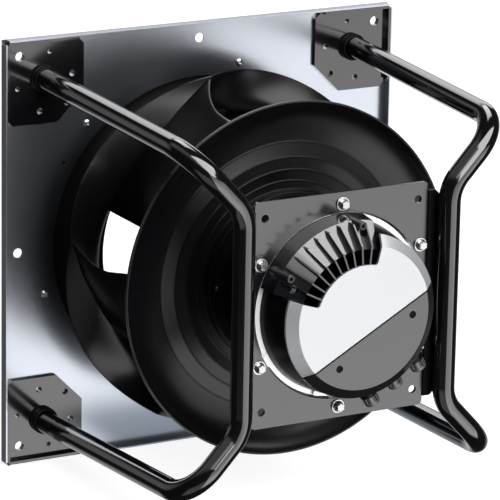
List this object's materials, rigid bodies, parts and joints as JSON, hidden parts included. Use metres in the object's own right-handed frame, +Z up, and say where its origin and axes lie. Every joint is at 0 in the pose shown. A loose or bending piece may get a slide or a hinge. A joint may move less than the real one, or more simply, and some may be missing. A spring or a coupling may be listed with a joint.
{
  "type": "plug fan",
  "caption": "Plug fan with an external rotor motor in a tube frame, a backward-curved impeller and an inlet nozzle on a square plate",
  "frame": {"origin": "on the fan axis, at the rear face of the nozzle plate", "axes": "+Y is the fan axis and points from the motor to the intake side, +Z is up, +X is to the right as seen from the motor side"},
  "size_m": [0.5, 0.3932, 0.5],
  "materials": {
    "galvanised_sheet": "satin zinc coating",
    "black_tube_paint": "glossy black paint",
    "black_bracket_paint": "semi-gloss black paint",
    "black_nozzle_paint": "satin black paint on sheet",
    "black_plate_paint": "semi-gloss black paint",
    "impeller_black": "satin moulded plastic",
    "housing_black": "satin black coating on cast aluminium",
    "heat_sink_grey": "dark coated cast aluminium",
    "cap_silver": "satin",
    "flange_aluminium": "machined",
    "cover_grey": "satin",
    "bright_screw": "bright zinc",
    "dark_screw": "dark",
    "gland_black": "satin",
    "plug_grey": "smooth",
    "seal_rubber": "matt",
    "core_steel": "laminated sheet",
    "coil_copper": "enamelled copper wire",
    "bearing_steel": "ground",
    "magnet_dark": "matt ferrite",
    "board_green": "lacquered circuit board",
    "capacitor_can": "satin",
    "terminal_plastic": "moulded plastic"
  },
  "bodies": {
    "frame": {"nozzle_plate": "galvanised_sheet", "inlet_nozzle": "black_nozzle_paint", "nozzle_rivets": "bright_screw", "bracket_top_left": "black_bracket_paint", "bracket_top_right": "black_bracket_paint", "bracket_bottom_left": "black_bracket_paint", "bracket_bottom_right": "black_bracket_paint", "tube_collars": "black_bracket_paint", "tube_frame_left": "black_tube_paint", "tube_frame_right": "black_tube_paint", "side_bars": "black_plate_paint", "motor_plate": "black_plate_paint", "flange_washers": "bright_screw", "flange_screws": "bright_screw", "stator_flange": "flange_aluminium", "stator_core": "core_steel", "stator_coils": "coil_copper", "bearing_outer_rings": "bearing_steel", "spacer_sleeve": "bearing_steel", "electronics_housing": "housing_black", "heat_sink": "heat_sink_grey", "sink_studs": "dark_screw", "sink_screw": "dark_screw", "housing_gasket": "seal_rubber", "electronics_cap": "cap_silver", "terminal_cover": "cover_grey", "terminal_screws": "dark_screw", "gland_nuts": "gland_black", "gland_plugs": "plug_grey", "circuit_board": "board_green", "board_screws": "dark_screw", "capacitors": "capacitor_can", "choke": "magnet_dark", "terminal_block": "terminal_plastic"},
    "rotor": {"shaft": "bearing_steel", "bearing_inner_rings": "bearing_steel", "retaining_ring": "dark_screw", "rotor_bell": "housing_black", "rotor_magnets": "magnet_dark", "impeller_back_plate": "impeller_black", "impeller_blades": "impeller_black", "impeller_shroud": "impeller_black", "hub_screws": "dark_screw"}
  },
  "joints": [
    {"name": "fan_spin", "type": "hinge", "parent": "frame", "child": "rotor", "pos_m": [0, -0.29, 0], "axis": [0, 1, 0], "continuous": true}
  ]
}
